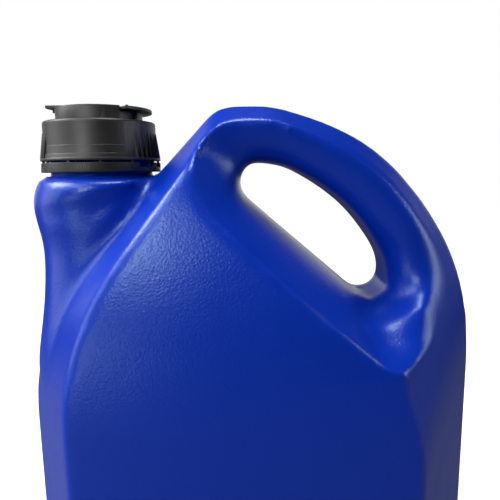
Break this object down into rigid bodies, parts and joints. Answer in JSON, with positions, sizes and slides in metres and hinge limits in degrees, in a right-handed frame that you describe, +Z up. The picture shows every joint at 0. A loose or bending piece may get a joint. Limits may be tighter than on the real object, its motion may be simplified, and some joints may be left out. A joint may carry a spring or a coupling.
{
  "type": "hydraulic oil jug",
  "caption": "Blow-moulded plastic oil jug with a faceted body, a recessed through-hole handle, an offset neck and a screw closure with a pull-out pouring spout.",
  "frame": {"origin": "on the floor, under the middle of the jug's base", "axes": "+Z up, +X from the neck towards the handle, -Y towards the face seen in the picture"},
  "size_m": [0.213, 0.12, 0.3133],
  "materials": {
    "blue_polyethylene": "satin, fine grain",
    "black_polypropylene": "satin",
    "seal_foam": "matt"
  },
  "bodies": {
    "jug": {"jug": "blue_polyethylene", "tamper_band": "black_polypropylene"},
    "seal": {"seal_ring": "seal_foam"},
    "closure": {"closure": "black_polypropylene"},
    "spout": {"spout": "black_polypropylene"},
    "cover": {"spout_cover": "black_polypropylene"},
    "wing": {"finger_wing": "black_polypropylene"}
  },
  "joints": [
    {"name": "cap_lift", "type": "slide", "parent": "jug", "child": "seal", "axis": [0, 0, 1], "range_m": [0, 0.0101]},
    {"name": "cap_turn", "type": "hinge", "parent": "seal", "child": "closure", "pos_m": [-0.0665, 0, 0.288], "axis": [0, 0, 1], "range_deg": [0, 900]},
    {"name": "spout_pull", "type": "slide", "parent": "closure", "child": "spout", "axis": [0, 0, 1], "range_m": [0, 0.035]},
    {"name": "cover_lift", "type": "slide", "parent": "spout", "child": "cover", "axis": [0, 0, 1], "range_m": [0, 0.01]},
    {"name": "wing_lift", "type": "hinge", "parent": "cover", "child": "wing", "pos_m": [-0.0725, 0, 0.31045], "axis": [0, -1, 0], "range_deg": [0, 95]}
  ],
  "couplings": [
    {"joint": "cap_lift", "follows": "cap_turn", "m_per_rad": 0.0006366}
  ]
}
